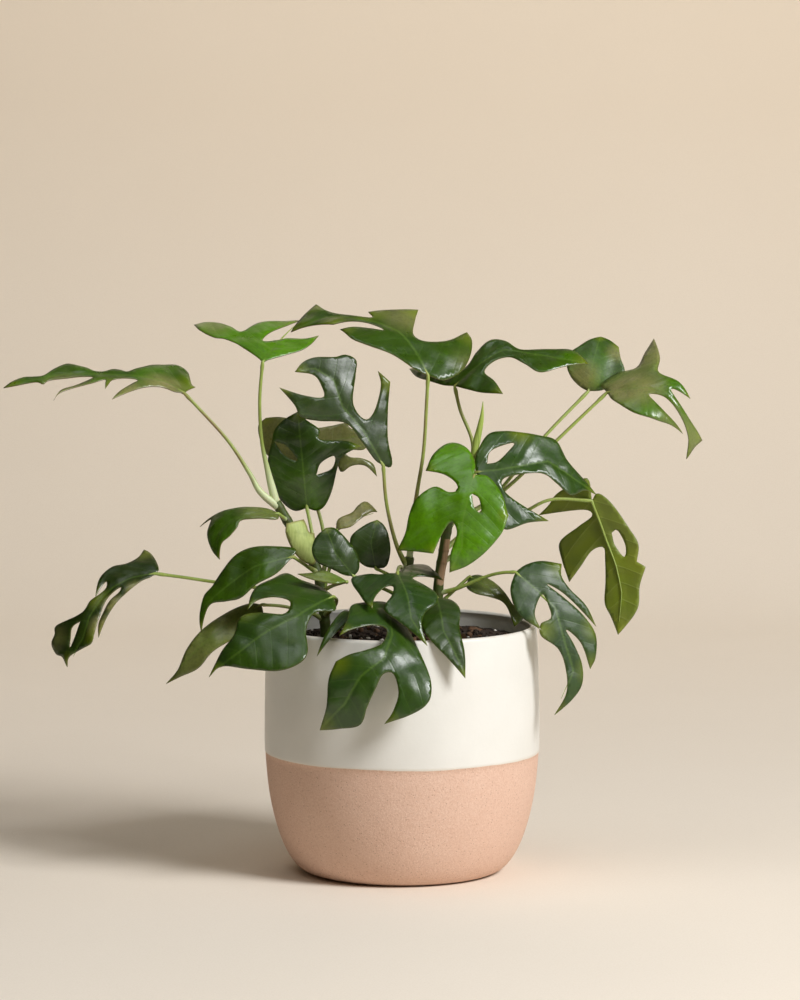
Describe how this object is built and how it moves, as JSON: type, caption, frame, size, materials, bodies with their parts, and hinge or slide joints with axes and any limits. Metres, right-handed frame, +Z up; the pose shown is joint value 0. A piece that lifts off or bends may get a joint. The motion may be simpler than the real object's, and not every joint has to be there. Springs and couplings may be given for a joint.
{
  "type": "potted monstera plant",
  "caption": "Young mini monstera with split leaves on three vines, growing in soil in a two-tone ceramic pot with a flat foot.",
  "frame": {"origin": "centre of the pot's flat foot", "axes": "+Z up the pot's axis, +X towards the right-hand vine, the front that the drooping leaf hangs over is -Y"},
  "size_m": [0.4538, 0.2036, 0.3683],
  "materials": {
    "pot": "satin",
    "soil": "rough",
    "vine": "matte",
    "leaf": "satin",
    "young_leaf": "satin"
  },
  "bodies": {
    "root": {"pot": "pot", "soil": "soil", "vine_left": "vine", "vine_centre": "vine", "vine_right": "vine", "leaf_left_1": "leaf", "leaf_left_2": "leaf", "leaf_left_3": "leaf", "leaf_left_4": "leaf", "leaf_left_5": "leaf", "leaf_left_6": "leaf", "leaf_left_7": "leaf", "leaf_left_8": "leaf", "leaf_left_9": "leaf", "leaf_left_10": "leaf", "leaf_left_11": "leaf", "leaf_centre_1": "leaf", "leaf_centre_2": "leaf", "leaf_centre_3": "leaf", "leaf_centre_4": "leaf", "leaf_centre_5": "leaf", "leaf_centre_6": "leaf", "leaf_centre_7": "leaf", "leaf_right_1": "leaf", "leaf_right_2": "leaf", "leaf_right_3": "leaf", "leaf_right_4": "leaf", "leaf_right_5": "leaf", "leaf_right_6": "leaf", "leaf_right_7": "leaf", "leaf_right_8": "leaf", "leaf_right_9": "leaf", "leaf_spear": "young_leaf", "bract_left": "young_leaf"}
  },
  "joints": []
}
